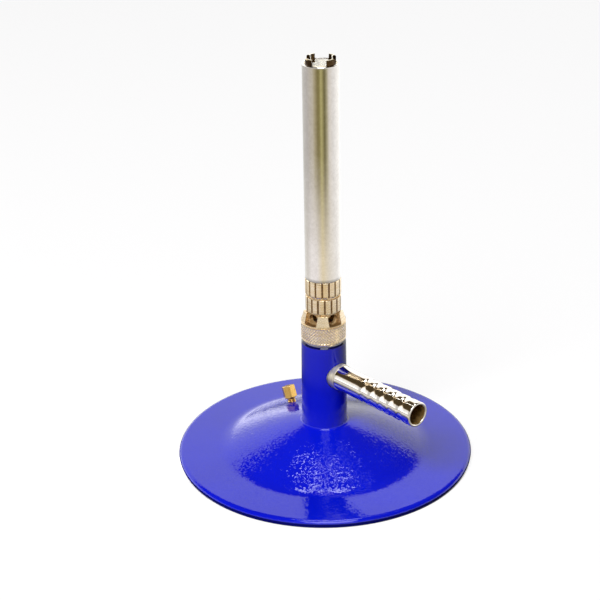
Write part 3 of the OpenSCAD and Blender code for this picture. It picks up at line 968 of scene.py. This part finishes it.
far = k.ramp(turnfac, [(at(-180), (1.0, 1.0, 1.0)), (at(-135), (0.62, 0.61, 0.60)), (at(-95), (0.55, 0.52, 0.51)), (at(-55), (0.60, 0.55, 0.47)),
                       (at(-40), (0.45, 0.39, 0.25)), (at(-22), (0.24, 0.20, 0.08)), (at(-12), (0.26, 0.22, 0.085)), (at(0), (0.50, 0.45, 0.20)),
                       (at(10), (0.34, 0.30, 0.13)), (at(20), (0.15, 0.13, 0.05)), (at(34), (0.42, 0.38, 0.24)), (at(50), (0.80, 0.75, 0.70)),
                       (at(77), (0.88, 0.86, 0.86)), (at(102), (1.05, 1.03, 1.03)), (at(140), (1.25, 1.25, 1.25)), (at(180), (1.1, 1.1, 1.1))])
near = k.ramp(turnfac, [(at(-180), (1.0, 1.0, 1.0)), (at(-110), (0.78, 0.75, 0.72)), (at(-75), (1.0, 0.96, 0.98)), (at(-35), (1.0, 0.96, 0.98)), (at(0), (0.92, 0.80, 0.58)),
                        (at(40), (0.90, 0.84, 0.76)), (at(102), (1.0, 0.98, 0.98)), (at(140), (1.25, 1.25, 1.25)), (at(180), (1.1, 1.1, 1.1))])
dist = k.add("ShaderNodeVectorMath")
dist.operation = "LENGTH"
k.link(tc.outputs["Object"], dist.inputs[0])
mixer = k.add("ShaderNodeMix")
mixer.data_type = "RGBA"
k.link(k.span(dist.outputs["Value"], 0.17, 0.31, 0, 1), mixer.inputs["Factor"])
k.link(near, mixer.inputs[6])
k.link(far, mixer.inputs[7])
# the sheet is shaded round the foot
under = k.ramp(k.span(dist.outputs["Value"], 0.050, 0.150, 0, 1), [(0.0, (0.03, 0.03, 0.03)), (0.10, (0.10, 0.10, 0.10)), (0.22, (0.34, 0.34, 0.34)),
                                                                   (0.55, (0.55, 0.55, 0.55)), (1.0, (1.0, 1.0, 1.0))])
shade = k.add("ShaderNodeMix")
shade.data_type = "RGBA"
shade.blend_type = "MULTIPLY"
shade.inputs["Factor"].default_value = 1.0
k.link(mixer.outputs[2], shade.inputs[6])
k.link(under, shade.inputs[7])
em = k.add("ShaderNodeEmission")
k.link(shade.outputs[2], em.inputs["Color"])
k.link(em.outputs[0], k.t.nodes["Material Output"].inputs["Surface"])
bounce = sheet("bounce", 0.0515, 3.9, 0.00005, k.m, 128)
bounce.visible_camera = False
bounce.visible_diffuse = False
bounce.visible_shadow = False
bounce.visible_transmission = False
bounce.visible_volume_scatter = False

# ---------------------------------------------------------------- world: pale backdrop, dark above it
world = bpy.data.worlds.new("studio")
bpy.context.scene.world = world
world.use_nodes = True
wt = world.node_tree


class W(Nodes):
    def __init__(self):
        self.t = wt


k = W()
tc = k.add("ShaderNodeTexCoord")
vec = tc.outputs["Generated"]
height = dot(vec, (0, 0, 1))
away = dot(vec, tuple(AWAY))
side = dot(vec, tuple(right))
edge = k.math("SUBTRACT", 0.645, k.math("MULTIPLY", k.math("MAXIMUM", k.math("SUBTRACT", side, 0.18), 0.0), 0.42))
edge = k.math("SUBTRACT", edge, k.math("MULTIPLY", k.math("MAXIMUM", k.math("SUBTRACT", k.math("MULTIPLY", side, -1.0), 0.45), 0.0), 0.5))
above = k.math("SUBTRACT", height, edge)
backdrop = k.span(above, -0.035, 0.035, 1.0, 0.0)
behind = k.span(away, -0.25, 0.35, 0.0, 1.0)
level = k.math("ADD", 0.62, k.math("MULTIPLY", behind, 0.68))
level = k.math("ADD", level, k.math("MULTIPLY", k.math("MAXIMUM", side, 0.0), 0.35))
low = k.math("MULTIPLY", k.span(height, 0.02, 0.26, 1.0, 0.0), k.span(side, -0.25, 0.15, 1.0, 0.1))
level = k.math("ADD", level, k.math("MULTIPLY", k.math("MULTIPLY", low, behind), 1.8))
strength = k.math("ADD", k.math("MULTIPLY", backdrop, level), 0.055)
bg = wt.nodes["Background"]
wt.links.new(strength, bg.inputs["Strength"])
tint = k.add("ShaderNodeMix")
tint.data_type = "RGBA"
wt.links.new(backdrop, tint.inputs["Factor"])
tint.inputs[6].default_value = (1.25, 0.86, 0.40, 1)
tint.inputs[7].default_value = (1.0, 0.99, 0.985, 1)
wt.links.new(tint.outputs[2], bg.inputs["Color"])


def lamp(name, azimuth, elevation, distance, size, power, colour=(1, 1, 1), size_y=None):
    """azimuth from straight away from the camera, + to the right."""
    p, q = math.radians(azimuth), math.radians(elevation)
    direction = (AWAY * math.cos(p) + right * math.sin(p)) * math.cos(q) + Vector((0, 0, 1)) * math.sin(q)
    data = bpy.data.lights.new(name, "AREA")
    data.shape = "RECTANGLE" if size_y else "DISK"
    data.size = size
    if size_y:
        data.size_y = size_y
    data.energy = power
    data.color = colour
    o = bpy.data.objects.new(name, data)
    bpy.context.scene.collection.objects.link(o)
    target = Vector((0, 0, 0.03))
    o.location = target + direction * distance
    o.rotation_mode = "QUATERNION"
    o.rotation_quaternion = direction.to_track_quat("Z", "Y")
    return o


world.cycles_visibility.diffuse = False
lamp("top_soft", 4, 69, 1.1, 0.34, 0.09)
spots = [(12, 68), (-3, 65), (6, 74), (-15, 71), (14, 64), (-6, 77), (17, 72), (3, 69), (-11, 64), (7, 63), (-8, 68),
         (19, 67), (0, 72), (10, 77), (-5, 73), (-14, 67), (4, 66), (-1, 62), (11, 71), (2, 76), (-18, 69), (15, 61), (8, 66), (-10, 75)]
for i, (az, el) in enumerate(spots):
    spot = lamp("spot_%d" % i, az, el, 1.1, 0.06, 0.065)
    spot.visible_diffuse = False
kick = lamp("edge_soft", 176, 60, 1.2, 0.6, 9.0, size_y=1.0)
kick.visible_diffuse = False
front = lamp("front_soft", -150, 47, 1.4, 0.7, 22.5)
front.visible_glossy = False
fill = lamp("fill_soft", 150, 60, 1.4, 1.4, 1.0)
fill.visible_glossy = False
back = lamp("back_fill", 20, 40, 1.5, 1.0, 3.0)
back.visible_glossy = False

bpy.context.scene.view_settings.view_transform = "Standard"
bpy.context.scene.view_settings.look = "None"
